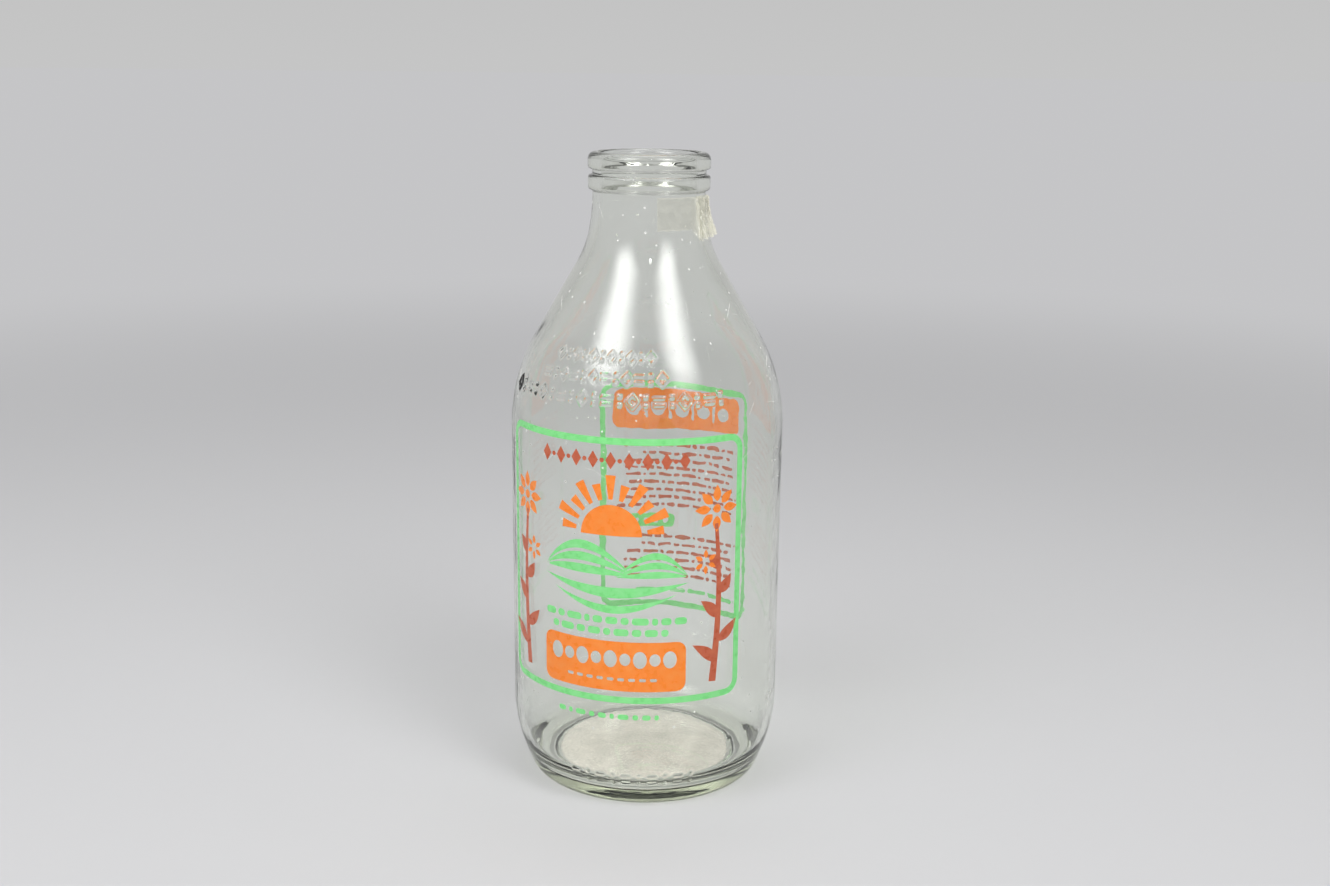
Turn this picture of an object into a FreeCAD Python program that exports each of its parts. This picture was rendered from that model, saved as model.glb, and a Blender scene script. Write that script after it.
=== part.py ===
import FreeCAD, Part
import math
import os

# One-pint glass milk bottle for a foil cap, empty and uncapped, with a strip of clear sticky
# tape left round one side of the neck.  Millimetres, +Z up, origin on the table under the
# middle of the base.  The bottle is one turned glass body: its outside and its cavity are
# outlines of tangent arcs and lines, all worked out from the sizes below.

# ---- overall sizes ------------------------------------------------------------------------
height = 180.8              # table to the crest of the lip
body_diameter = 78.0
wall = 1.9                  # glass of the body and the shoulder

# ---- base and heel ------------------------------------------------------------------------
heel_inset = 8.8            # from the body's side in to the flat ring the bottle stands on
bearing_width = 2.4         # width of that ring
heel_corner = 4.5           # radius from the ring up to the heel
heel_slope = 21.0           # degrees the heel leans out from upright
heel_blend = 44.0           # radius from the heel into the upright body
push_up = 3.4               # rise of the hollow under the base
push_up_step = 1.3          # part of that rise just inside the ring
push_up_step_run = 1.5      # how far in the step reaches
base_thickness = 4.0        # glass in the middle of the base
floor_corner = 10.0         # radius between the inside floor and the wall
floor_dome = 110.0          # radius of the domed inside floor

# ---- shoulder and neck --------------------------------------------------------------------
shoulder_slope = 30.0       # degrees the straight part of the shoulder leans in from upright
shoulder_radius = 52.0      # round top of the body
neck_diameter = 31.6        # straight collar just under the rings
neck_wall = 2.4             # glass round the bore
neck_bend = 28.0            # hollow curve from the shoulder into the neck
neck_flare = 56.0           # gentler hollow curve above it
flare_length = 9.7          # height of the gentler curve
collar_length = 0.8         # straight collar between the curve and the lower ring

# ---- lip and rings, each measured out from the collar --------------------------------------
lip_projection = 1.3
lip_height = 4.6
lip_outer_round = 2.0
lip_inner_round = 1.6
lip_under_round = 0.7
groove_projection = 0.1     # groove between the lip and the lower ring
groove_width = 1.6
groove_round = 0.3
ring_projection = 1.25      # lower ring
ring_height = 4.2
ring_upper_round = 0.8
ring_lower_round = 0.9
collar_round = 0.4

# ---- sticky tape on the neck --------------------------------------------------------------
tape_clearance = 0.15       # adhesive layer between the glass and the film
tape_thickness = 0.25
tape_width = 9.0
tape_top_gap = 0.2          # below the foot of the straight collar
tape_start = 8.0            # degrees round from the front, towards +X
tape_gather_start = 47.0    # where the film stops lying flat
tape_gather_end = 96.0
tape_lap = 1.0              # degrees by which the flat film runs into the gathered end
tape_lift = 0.1             # how much further off the glass the gathered end stands
tape_pleats = 5             # upright folds of the gathered end
tape_pleat_top = 0.15       # how far a fold stands out at the upper edge
tape_pleat_bottom = 0.65    # and at the lower edge
tape_levels = 5             # bands of facets down each fold
tape_drop = 3.2             # how far the gathered end hangs below the flat strip
tape_trim = 8.0             # degrees the lower edge of the gathered end slants
tape_trim_rise = 1.6        # level of that slanted edge on the axis above its lowest corner

origin = FreeCAD.Vector(0, 0, 0)
upright = FreeCAD.Vector(0, 0, 1)


def point(radius, level):
    return FreeCAD.Vector(radius, 0, level)


def round_edge(start, centre, end):
    """The shorter arc about centre from start to end."""
    radius = (start - centre).Length
    bisector = ((start + end) * 0.5 - centre).normalize()
    return Part.Arc(start, centre + bisector * radius, end).toShape()


def straight_edge(start, end):
    return Part.LineSegment(start, end).toShape()


def on_circle(centre, radius, angle):
    """Point of a circle at an angle in radians, measured from the outward direction."""
    return centre + point(radius * math.cos(angle), radius * math.sin(angle))


def circle_crossing(first, first_radius, second, second_radius):
    """The crossing of two circles that lies furthest out from the axis."""
    between = second - first
    span = between.Length
    along = (first_radius ** 2 - second_radius ** 2 + span ** 2) / (2 * span)
    aside = math.sqrt(first_radius ** 2 - along ** 2)
    direction = between * (1 / span)
    across = point(-direction.z, direction.x)
    candidates = [first + direction * along + across * side for side in (aside, -aside)]
    return max(candidates, key=lambda place: place.x)


def cross_tangent(shoulder, shoulder_size, bend, bend_size):
    """Angle of the normal of the line that runs from the round shoulder into the hollow bend."""
    between = bend - shoulder
    heading = math.atan2(between.z, between.x)
    return heading - math.acos((shoulder_size + bend_size) / between.Length)


def rounded_edges(start, corners, end):
    """Edges of a path from start to end whose corners, given with their radii, are rounded."""
    places = [start] + [place for place, radius in corners] + [end]
    edges = []
    here = start
    for index, (place, radius) in enumerate(corners, start=1):
        back = places[index - 1] - place
        ahead = places[index + 1] - place
        half = back.getAngle(ahead) / 2
        reach = min(radius / math.tan(half), 0.49 * min(back.Length, ahead.Length))
        limited = reach * math.tan(half)
        back.normalize()
        ahead.normalize()
        centre = place + (back + ahead).normalize() * (limited / math.sin(half))
        edges.append(straight_edge(here, place + back * reach))
        edges.append(round_edge(place + back * reach, centre, place + ahead * reach))
        here = place + ahead * reach
    edges.append(straight_edge(here, end))
    return edges


# ---- centres and levels shared by the outside, the cavity and the tape ---------------------
body_radius = body_diameter / 2
neck_radius = neck_diameter / 2
bore_radius = neck_radius - neck_wall

lip_bottom = height - lip_height
ring_top = lip_bottom - groove_width
ring_bottom = ring_top - ring_height
collar_bottom = ring_bottom - collar_length

flare_centre = point(neck_radius + neck_flare, collar_bottom)
flare_angle = math.asin(flare_length / neck_flare)
bend_top = on_circle(flare_centre, neck_flare, math.pi + flare_angle)
bend_centre = on_circle(bend_top, neck_bend, flare_angle)

slope = math.radians(shoulder_slope)
bend_bottom = on_circle(bend_centre, neck_bend, math.pi + slope)
shoulder_end_radius = body_radius - shoulder_radius * (1 - math.cos(slope))
shoulder_end_level = bend_bottom.z - (shoulder_end_radius - bend_bottom.x) / math.tan(slope)
shoulder_centre = point(body_radius - shoulder_radius,
                        shoulder_end_level - shoulder_radius * math.sin(slope))

lean = math.radians(heel_slope)
bearing_outer = point(body_radius - heel_inset, 0)
bearing_inner = point(bearing_outer.x - bearing_width, 0)
corner_centre = point(bearing_outer.x, heel_corner)
heel_reach = (body_radius - heel_blend - corner_centre.x) * math.cos(lean)
heel_level = (heel_reach + heel_corner * math.sin(lean) - heel_corner + heel_blend) / math.sin(lean)
heel_centre = point(body_radius - heel_blend, heel_level)


def outside_edges():
    """From the middle of the hollow under the base, out and up to the foot of the collar."""
    crown = point(0, push_up)
    dome_edge = point(bearing_inner.x - push_up_step_run, push_up_step)
    dome_rise = push_up - push_up_step
    dome_radius = (dome_edge.x ** 2 + dome_rise ** 2) / (2 * dome_rise)
    dome_centre = point(0, push_up - dome_radius)
    corner_end = on_circle(corner_centre, heel_corner, -lean)
    blend_start = on_circle(heel_centre, heel_blend, -lean)
    body_bottom = point(body_radius, heel_level)
    body_top = point(body_radius, shoulder_centre.z)
    shoulder_end = on_circle(shoulder_centre, shoulder_radius, slope)
    return [
        round_edge(crown, dome_centre, dome_edge),
        straight_edge(dome_edge, bearing_inner),
        straight_edge(bearing_inner, bearing_outer),
        round_edge(bearing_outer, corner_centre, corner_end),
        straight_edge(corner_end, blend_start),
        round_edge(blend_start, heel_centre, body_bottom),
        straight_edge(body_bottom, body_top),
        round_edge(body_top, shoulder_centre, shoulder_end),
        straight_edge(shoulder_end, bend_bottom),
        round_edge(bend_bottom, bend_centre, bend_top),
        round_edge(bend_top, flare_centre, point(neck_radius, collar_bottom)),
    ]


def finish_edges():
    """Collar, lower ring, groove and lip, and down the bore to the level of the collar's foot."""
    ring_radius = neck_radius + ring_projection
    groove_radius = neck_radius + groove_projection
    lip_radius = neck_radius + lip_projection
    corners = [
        (point(neck_radius, ring_bottom), collar_round),
        (point(ring_radius, ring_bottom), ring_lower_round),
        (point(ring_radius, ring_top), ring_upper_round),
        (point(groove_radius, ring_top), groove_round),
        (point(groove_radius, lip_bottom), groove_round),
        (point(lip_radius, lip_bottom), lip_under_round),
        (point(lip_radius, height), lip_outer_round),
        (point(bore_radius, height), lip_inner_round),
    ]
    return rounded_edges(point(neck_radius, collar_bottom), corners,
                         point(bore_radius, collar_bottom))


def cavity_edges():
    """From the bore down the inside of the neck, shoulder and body to the middle of the floor."""
    inner_flare = neck_flare + neck_wall
    inner_bend = neck_bend + neck_wall
    inner_shoulder = shoulder_radius - wall
    inner_heel = heel_blend - wall
    tangent = cross_tangent(shoulder_centre, inner_shoulder, bend_centre, inner_bend)
    flare_end = on_circle(flare_centre, inner_flare, math.pi + flare_angle)
    bend_end = on_circle(bend_centre, inner_bend, math.pi + tangent)
    shoulder_start = on_circle(shoulder_centre, inner_shoulder, tangent)
    wall_top = point(body_radius - wall, shoulder_centre.z)
    wall_bottom = point(body_radius - wall, heel_level)

    crown = point(0, push_up + base_thickness)
    dome_centre = point(0, crown.z - floor_dome)
    corner = circle_crossing(dome_centre, floor_dome + floor_corner,
                             heel_centre, inner_heel - floor_corner)
    heel_end = heel_centre + (corner - heel_centre).normalize() * inner_heel
    floor_end = dome_centre + (corner - dome_centre).normalize() * floor_dome
    return [
        round_edge(point(bore_radius, collar_bottom), flare_centre, flare_end),
        round_edge(flare_end, bend_centre, bend_end),
        straight_edge(bend_end, shoulder_start),
        round_edge(shoulder_start, shoulder_centre, wall_top),
        straight_edge(wall_top, wall_bottom),
        round_edge(wall_bottom, heel_centre, heel_end),
        round_edge(heel_end, corner, floor_end),
        round_edge(floor_end, dome_centre, crown),
    ]


def make_bottle():
    """The glass: one closed outline turned about the upright axis."""
    axis_edge = straight_edge(point(0, push_up + base_thickness), point(0, push_up))
    outline = outside_edges() + finish_edges() + cavity_edges() + [axis_edge]
    return Part.Face(Part.Wire(outline)).revolve(origin, upright, 360)


# ---- the tape -----------------------------------------------------------------------------
tape_top = collar_bottom - tape_top_gap
strip_bottom = tape_top - tape_width
gather_bottom = strip_bottom - tape_drop


def neck_point(distance, level):
    """Point at a level on the neck's outline moved outwards from the glass by a distance."""
    for centre, radius, end in ((flare_centre, neck_flare, flare_angle),
                                (bend_centre, neck_bend, slope)):
        below = math.asin((centre.z - level) / (radius - distance))
        if below <= end:
            return on_circle(centre, radius - distance, math.pi + below)
    start = bend_bottom + point(math.cos(slope), math.sin(slope)) * distance
    return start + point((start.z - level) * math.tan(slope), level - start.z)


def neck_edges(distance):
    """The neck's outline moved outwards, from the tape's top to the bottom of its flat strip."""
    top = neck_point(distance, tape_top)
    bottom = neck_point(distance, strip_bottom)
    turn = on_circle(flare_centre, neck_flare - distance, math.pi + flare_angle)
    if bottom.z >= turn.z:
        return [round_edge(top, flare_centre, bottom)]
    return [round_edge(top, flare_centre, turn), round_edge(turn, bend_centre, bottom)]


def tape_strip():
    """The film that lies flat: a thin shell of the neck's own curve, swept part way round."""
    outer = tape_clearance + tape_thickness
    ends = [straight_edge(neck_point(tape_clearance, level), neck_point(outer, level))
            for level in (tape_top, strip_bottom)]
    edges = neck_edges(tape_clearance) + neck_edges(outer) + ends
    section = Part.Face(Part.Wire(Part.__sortEdges__(edges)))
    section.rotate(origin, upright, tape_start - 90)
    return section.revolve(origin, upright, tape_gather_start + tape_lap - tape_start)


def pleat_section(level, pleat_depth):
    """Closed zigzag band across the gathered end at one level."""
    seat = neck_point(tape_clearance + tape_lift, level).x
    steps = 2 * tape_pleats
    inner, outer = [], []
    for step in range(steps + 1):
        around = tape_gather_start + (tape_gather_end - tape_gather_start) * step / steps
        angle = math.radians(around - 90)
        radius = seat + pleat_depth * (step % 2)
        for row, reach in ((inner, radius), (outer, radius + tape_thickness)):
            row.append(FreeCAD.Vector(reach * math.cos(angle), reach * math.sin(angle), level))
    loop = inner + outer[::-1]
    return Part.makePolygon(loop + [loop[0]])


def gathered_end():
    """Upright pleats where the film has slipped down and bunched up, trimmed on a slant."""
    sections = []
    for step in range(tape_levels + 1):
        share = step / tape_levels
        depth = tape_pleat_top + (tape_pleat_bottom - tape_pleat_top) * share
        sections.append(pleat_section(tape_top + (gather_bottom - tape_top) * share, depth))
    pleats = Part.makeLoft(sections, True, True)
    trim = Part.makeBox(2 * body_diameter, 2 * body_diameter, body_diameter)
    trim.translate(FreeCAD.Vector(0, -body_diameter, -body_diameter))
    trim.rotate(origin, FreeCAD.Vector(1, 0, 0), tape_trim)
    trim.translate(point(0, gather_bottom + tape_trim_rise))
    return pleats.cut(trim)


def make_neck_tape():
    """The tape: the flat strip and its gathered end, one piece of film."""
    return tape_strip().fuse(gathered_end()).removeSplitter()


os.makedirs("parts", exist_ok=True)
make_bottle().exportStep("parts/bottle.step")
make_neck_tape().exportStep("parts/neck_tape.step")
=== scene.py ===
import math

import bpy
import numpy as np
from mathutils import Matrix, Vector
from mathutils.geometry import delaunay_2d_cdt


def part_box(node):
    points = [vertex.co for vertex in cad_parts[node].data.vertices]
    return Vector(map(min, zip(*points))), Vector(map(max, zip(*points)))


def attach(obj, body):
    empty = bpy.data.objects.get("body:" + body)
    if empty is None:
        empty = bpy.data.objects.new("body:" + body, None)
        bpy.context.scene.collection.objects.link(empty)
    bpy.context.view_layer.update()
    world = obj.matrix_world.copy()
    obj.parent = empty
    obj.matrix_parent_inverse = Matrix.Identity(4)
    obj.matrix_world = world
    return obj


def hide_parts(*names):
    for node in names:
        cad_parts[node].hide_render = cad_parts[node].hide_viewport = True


# Looks of a one-pint glass milk bottle: turned clear glass with raised marks, enamel print on
# the front and back of the body, and a strip of clear sticky tape on the neck.
# Sizes are in millimetres and become metres where a mesh is made.

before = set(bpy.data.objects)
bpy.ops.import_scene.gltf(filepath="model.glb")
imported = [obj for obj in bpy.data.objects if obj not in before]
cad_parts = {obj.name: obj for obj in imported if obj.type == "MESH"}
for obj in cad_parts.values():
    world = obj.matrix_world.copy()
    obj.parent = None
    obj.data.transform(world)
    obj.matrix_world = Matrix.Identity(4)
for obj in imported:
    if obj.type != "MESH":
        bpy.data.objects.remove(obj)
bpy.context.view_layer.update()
MM = 0.001

# ---- sizes of the glass, as built in the frame ----------------------------------------------
glass_low, glass_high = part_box("bottle")
PRINT_ROOM = 0.05                                    # kept free for the enamel inside the frame's box
HEIGHT = glass_high[2] / MM
BODY = (glass_high[0] - glass_low[0]) / 2 / MM - PRINT_ROOM
WALL = 1.9
HEEL_INSET, BEARING_WIDTH, HEEL_CORNER, HEEL_SLOPE, HEEL_BLEND = 8.8, 2.4, 4.5, 21.0, 44.0
PUSH_UP, STEP_RISE, STEP_RUN = 3.4, 1.3, 1.5
BASE_THICKNESS, FLOOR_CORNER, FLOOR_DOME = 4.0, 10.0, 110.0
SHOULDER_SLOPE, SHOULDER_RADIUS = 30.0, 52.0
NECK, NECK_WALL, NECK_BEND, NECK_FLARE = 15.8, 2.4, 28.0, 56.0
FLARE_LENGTH, COLLAR_LENGTH = 9.7, 0.8
LIP_OUT, LIP_HEIGHT, LIP_OUTER_ROUND, LIP_INNER_ROUND, LIP_UNDER_ROUND = 1.3, 4.6, 2.0, 1.6, 0.7
GROOVE_OUT, GROOVE_WIDTH, GROOVE_ROUND = 0.1, 1.6, 0.3
RING_OUT, RING_HEIGHT, RING_UPPER_ROUND, RING_LOWER_ROUND, COLLAR_ROUND = 1.25, 4.2, 0.8, 0.9, 0.4


def unit(vector):
    return vector / np.hypot(*vector)


def on_circle(centre, radius, angle):
    return np.array(centre) + radius * np.array([math.cos(angle), math.sin(angle)])


def arc(centre, start, end, spacing):
    """Points of the shorter arc about centre, start left out, at about the given spacing."""
    centre, start, end = (np.array(p, float) for p in (centre, start, end))
    radius = np.hypot(*(start - centre))
    first = math.atan2(*(start - centre)[::-1])
    turn = (math.atan2(*(end - centre)[::-1]) - first + math.pi) % (2 * math.pi) - math.pi
    steps = max(2, math.ceil(abs(turn) * radius / spacing))
    return [on_circle(centre, radius, first + turn * k / steps) for k in range(1, steps + 1)]


def line(start, end, spacing):
    """Points of a straight stretch, start left out."""
    start, end = np.array(start, float), np.array(end, float)
    steps = max(1, math.ceil(np.hypot(*(end - start)) / spacing))
    return [start + (end - start) * k / steps for k in range(1, steps + 1)]


def rounded(start, corners, end, spacing):
    """Points of a path whose corners, given with their radii, are rounded."""
    places = [np.array(start, float)] + [np.array(p, float) for p, _ in corners] + [np.array(end, float)]
    points = []
    here = places[0]
    for index, (_, radius) in enumerate(corners, start=1):
        back = unit(places[index - 1] - places[index])
        ahead = unit(places[index + 1] - places[index])
        half = math.acos(float(np.clip(back @ ahead, -1, 1))) / 2
        reach = radius / math.tan(half)
        centre = places[index] + unit(back + ahead) * (radius / math.sin(half))
        points += line(here, places[index] + back * reach, spacing)
        points += arc(centre, places[index] + back * reach, places[index] + ahead * reach,
                      min(spacing, radius / 4))
        here = places[index] + ahead * reach
    return points + line(here, places[-1], spacing)


# ---- centres and levels shared by the glass, the print and the tape -------------------------
BORE = NECK - NECK_WALL
LIP_BOTTOM = HEIGHT - LIP_HEIGHT
RING_TOP = LIP_BOTTOM - GROOVE_WIDTH
RING_BOTTOM = RING_TOP - RING_HEIGHT
COLLAR_BOTTOM = RING_BOTTOM - COLLAR_LENGTH
FLARE_CENTRE = np.array([NECK + NECK_FLARE, COLLAR_BOTTOM])
FLARE_ANGLE = math.asin(FLARE_LENGTH / NECK_FLARE)
BEND_TOP = on_circle(FLARE_CENTRE, NECK_FLARE, math.pi + FLARE_ANGLE)
BEND_CENTRE = on_circle(BEND_TOP, NECK_BEND, FLARE_ANGLE)
SLOPE = math.radians(SHOULDER_SLOPE)
BEND_BOTTOM = on_circle(BEND_CENTRE, NECK_BEND, math.pi + SLOPE)
SHOULDER_END_R = BODY - SHOULDER_RADIUS * (1 - math.cos(SLOPE))
SHOULDER_END_Z = BEND_BOTTOM[1] - (SHOULDER_END_R - BEND_BOTTOM[0]) / math.tan(SLOPE)
SHOULDER_CENTRE = np.array([BODY - SHOULDER_RADIUS, SHOULDER_END_Z - SHOULDER_RADIUS * math.sin(SLOPE)])
LEAN = math.radians(HEEL_SLOPE)
BEARING = BODY - HEEL_INSET
CORNER_CENTRE = np.array([BEARING, HEEL_CORNER])
HEEL_Z = ((BODY - HEEL_BLEND - BEARING) * math.cos(LEAN)
          + HEEL_CORNER * math.sin(LEAN) - HEEL_CORNER + HEEL_BLEND) / math.sin(LEAN)
HEEL_CENTRE = np.array([BODY - HEEL_BLEND, HEEL_Z])


def outside_radius(level):
    """Radius of the glass on the body, the shoulder or the neck, at a level or an array of them."""
    z = np.asarray(level, float)

    def reach(centre, radius):
        """How far a circle stands to either side of its centre, at the levels z."""
        return np.sqrt(np.maximum(radius ** 2 - (z - centre[1]) ** 2, 0))

    heel = HEEL_CENTRE[0] + reach(HEEL_CENTRE, HEEL_BLEND)
    side = np.full_like(z, BODY)
    shoulder = SHOULDER_CENTRE[0] + reach(SHOULDER_CENTRE, SHOULDER_RADIUS)
    cone = SHOULDER_END_R - (z - SHOULDER_END_Z) * math.tan(SLOPE)
    bend = BEND_CENTRE[0] - reach(BEND_CENTRE, NECK_BEND)
    flare = FLARE_CENTRE[0] - reach(FLARE_CENTRE, NECK_FLARE)
    tops = (HEEL_Z, SHOULDER_CENTRE[1], SHOULDER_END_Z, BEND_BOTTOM[1], BEND_TOP[1])
    return np.select([z < top for top in tops], [heel, side, shoulder, cone, bend], flare)


HEEL_MARK_TOP, SHOULDER_MARK_FOOT = 12.0, 115.0      # the rows are close together where marks stand


def outside_outline():
    """(radius, level) rows from the hollow under the base up the outside and down to the bore."""
    bearing_inner = BEARING - BEARING_WIDTH
    dome_edge = np.array([bearing_inner - STEP_RUN, STEP_RISE])
    dome_rise = PUSH_UP - STEP_RISE
    dome_radius = (dome_edge[0] ** 2 + dome_rise ** 2) / (2 * dome_rise)
    corner_end = on_circle(CORNER_CENTRE, HEEL_CORNER, -LEAN)
    blend_start = on_circle(HEEL_CENTRE, HEEL_BLEND, -LEAN)
    shoulder_end = on_circle(SHOULDER_CENTRE, SHOULDER_RADIUS, SLOPE)
    rows = [np.array([0, PUSH_UP])]
    rows += arc([0, PUSH_UP - dome_radius], rows[0], dome_edge - [0.6, 0], 2.2)
    rows += rounded(rows[-1], [(dome_edge, 0.5), ([bearing_inner, 0], 0.5)], [bearing_inner + 1.2, 0], 0.6)
    rows += line(rows[-1], [BEARING, 0], 0.7)
    rows += arc(CORNER_CENTRE, rows[-1], corner_end, 0.45)
    rows += line(rows[-1], blend_start, 0.5)
    mark_top = on_circle(HEEL_CENTRE, HEEL_BLEND, -math.asin((HEEL_Z - HEEL_MARK_TOP) / HEEL_BLEND))
    rows += arc(HEEL_CENTRE, blend_start, mark_top, 0.5)
    rows += arc(HEEL_CENTRE, mark_top, [BODY, HEEL_Z], 2.2)
    rows += line(rows[-1], [BODY, SHOULDER_CENTRE[1]], 6.5)
    mark_rise = math.asin((SHOULDER_MARK_FOOT - SHOULDER_CENTRE[1]) / SHOULDER_RADIUS)
    low_mark = on_circle(SHOULDER_CENTRE, SHOULDER_RADIUS, mark_rise)
    rows += arc(SHOULDER_CENTRE, rows[-1], low_mark, 1.8)
    rows += arc(SHOULDER_CENTRE, low_mark, shoulder_end, 0.45)
    rows += line(rows[-1], shoulder_end + (BEND_BOTTOM - shoulder_end) * 0.12, 0.45)
    rows += line(rows[-1], BEND_BOTTOM, 2.4)
    rows += arc(BEND_CENTRE, BEND_BOTTOM, BEND_TOP, 1.2)
    rows += arc(FLARE_CENTRE, BEND_TOP, [NECK, COLLAR_BOTTOM], 1.2)
    corners = [([NECK, RING_BOTTOM], COLLAR_ROUND),
               ([NECK + RING_OUT, RING_BOTTOM], RING_LOWER_ROUND),
               ([NECK + RING_OUT, RING_TOP], RING_UPPER_ROUND),
               ([NECK + GROOVE_OUT, RING_TOP], GROOVE_ROUND),
               ([NECK + GROOVE_OUT, LIP_BOTTOM], GROOVE_ROUND),
               ([NECK + LIP_OUT, LIP_BOTTOM], LIP_UNDER_ROUND),
               ([NECK + LIP_OUT, HEIGHT], LIP_OUTER_ROUND),
               ([BORE, HEIGHT], LIP_INNER_ROUND)]
    finish = rounded(rows[-1], corners, [BORE, HEIGHT - LIP_INNER_ROUND - 0.5], 0.9)
    return rows + finish


def inside_outline():
    """(radius, level) rows from the bore down the cavity to the middle of the floor."""
    inner_flare, inner_bend = NECK_FLARE + NECK_WALL, NECK_BEND + NECK_WALL
    inner_shoulder, inner_heel = SHOULDER_RADIUS - WALL, HEEL_BLEND - WALL
    between = BEND_CENTRE - SHOULDER_CENTRE
    swing = math.acos((inner_shoulder + inner_bend) / np.hypot(*between))
    tangent = math.atan2(between[1], between[0]) - swing
    flare_end = on_circle(FLARE_CENTRE, inner_flare, math.pi + FLARE_ANGLE)
    bend_end = on_circle(BEND_CENTRE, inner_bend, math.pi + tangent)
    shoulder_start = on_circle(SHOULDER_CENTRE, inner_shoulder, tangent)
    crown = np.array([0, PUSH_UP + BASE_THICKNESS])
    dome = crown - [0, FLOOR_DOME]
    corner = outer_crossing(dome, FLOOR_DOME + FLOOR_CORNER, HEEL_CENTRE, inner_heel - FLOOR_CORNER)
    heel_end = HEEL_CENTRE + unit(corner - HEEL_CENTRE) * inner_heel
    floor_end = dome + unit(corner - dome) * FLOOR_DOME
    rows = line([BORE, HEIGHT - LIP_INNER_ROUND - 0.5], [BORE, COLLAR_BOTTOM], 2.6)
    rows += arc(FLARE_CENTRE, rows[-1], flare_end, 2.4)
    rows += arc(BEND_CENTRE, flare_end, bend_end, 2.4)
    rows += line(bend_end, shoulder_start, 3.0)
    rows += arc(SHOULDER_CENTRE, shoulder_start, [BODY - WALL, SHOULDER_CENTRE[1]], 2.8)
    rows += line(rows[-1], [BODY - WALL, HEEL_Z], 6.5)
    rows += arc(HEEL_CENTRE, rows[-1], heel_end, 1.8)
    rows += arc(corner, heel_end, floor_end, 1.1)
    rows += arc(dome, floor_end, crown, 3.6)
    return rows


def outer_crossing(first, first_radius, second, second_radius):
    """The crossing of two circles that lies furthest out from the axis."""
    between = second - first
    span = np.hypot(*between)
    along = (first_radius ** 2 - second_radius ** 2 + span ** 2) / (2 * span)
    aside = math.sqrt(first_radius ** 2 - along ** 2)
    across = np.array([-between[1], between[0]]) / span
    return max((first + between / span * along + across * s for s in (aside, -aside)), key=lambda p: p[0])


# ---- raised marks ---------------------------------------------------------------------------
STROKE = 0.38                                        # half the width of a raised stroke
STROKE_EDGE = 0.32                                   # run over which a stroke rises
STROKE_LEAD = 0.3                                    # share of its height where the stroke's edge is
DOT_EXTRA = 0.22                                     # how much further than a stroke a dot reaches


def stroke(x, y, start, end):
    """Distance inside a round-ended stroke between two points, for arrays x and y."""
    (ax, ay), (bx, by) = start, end
    length = max((bx - ax) ** 2 + (by - ay) ** 2, 1e-9)
    along = np.clip(((x - ax) * (bx - ax) + (y - ay) * (by - ay)) / length, 0, 1)
    return STROKE - np.hypot(x - ax - along * (bx - ax), y - ay - along * (by - ay))


def lozenge_ring(x, y, size):
    return STROKE * 0.8 - np.abs(np.abs(x) * 0.85 + np.abs(y) * 0.62 - size * 0.62)


MARK_KINDS = {
    "dots": lambda x, y, s: np.maximum(stroke(x, y, (0, -0.62 * s), (0, -0.62 * s)),
                                       stroke(x, y, (0, 0.62 * s), (0, 0.62 * s))) + DOT_EXTRA,
    "twin": lambda x, y, s: np.maximum(stroke(x, y, (-0.55 * s, -0.5 * s), (0.55 * s, -0.5 * s)),
                                       stroke(x, y, (-0.55 * s, 0.5 * s), (0.55 * s, 0.5 * s))),
    "lozenge": lozenge_ring,
}
# first and last angle, level, half height, relief, count, kinds
MARK_ROWS = (
    (-44.5, 1.5, 128.8, 1.75, 0.44, 11, ("lozenge", "dots")),
    (-49.5, 6.5, 123.6, 1.8, 0.44, 12, ("twin", "dots", "lozenge")),
    (-71.5, 32.0, 118.0, 2.1, 0.44, 20, ("lozenge", "dots", "twin", "dots")),
    (-31.0, 20.5, 9.8, 2.0, 0.26, 10, ("twin", "dots")),
)


def mark_height(angle, level, radius):
    """How far the raised marks stand out, for arrays of angle, level and radius."""
    out = np.zeros(np.broadcast(angle, level, radius).shape)
    for first, last, mark_level, size, relief, count, kinds in MARK_ROWS:
        slant = 1 / math.cos(SLOPE) if mark_level > HEEL_Z else 1.0
        up = (level - mark_level) * slant
        rows = np.abs(up[:, 0]) < size + 1.5
        for k in range(count):
            kind = kinds[k % len(kinds)]
            middle = math.radians(first + (last - first) * k / (count - 1))
            across = (angle - middle + math.pi) % (2 * math.pi) - math.pi
            inside = MARK_KINDS[kind](across * radius[rows], up[rows], size)
            out[rows] = np.maximum(out[rows], relief * np.clip(inside / STROKE_EDGE + STROKE_LEAD, 0, 1))
    return out


# ---- the glass ------------------------------------------------------------------------------
def glass_columns():
    """Angles of the mesh's columns: close together where the marks are, wide apart elsewhere."""
    fine = np.arange(-76, 38, 0.5)
    coarse = np.arange(38, 284, 3.0)
    return np.radians(np.concatenate([fine, coarse]))


def unevenness(angle, level, seed):
    """Slow waves of blown glass, from -1 to 1, over arrays of angle and level in millimetres."""
    waves = 0
    for k, (turns, pitch) in enumerate(((1, 71.0), (2, 43.0), (3, 97.0), (5, 31.0), (4, 19.0))):
        around = np.sin(turns * angle + 1.7 * k + seed)
        waves = waves + around * np.cos(2 * math.pi * level / pitch + 2.3 * k * seed)
    return waves / 5


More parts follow.
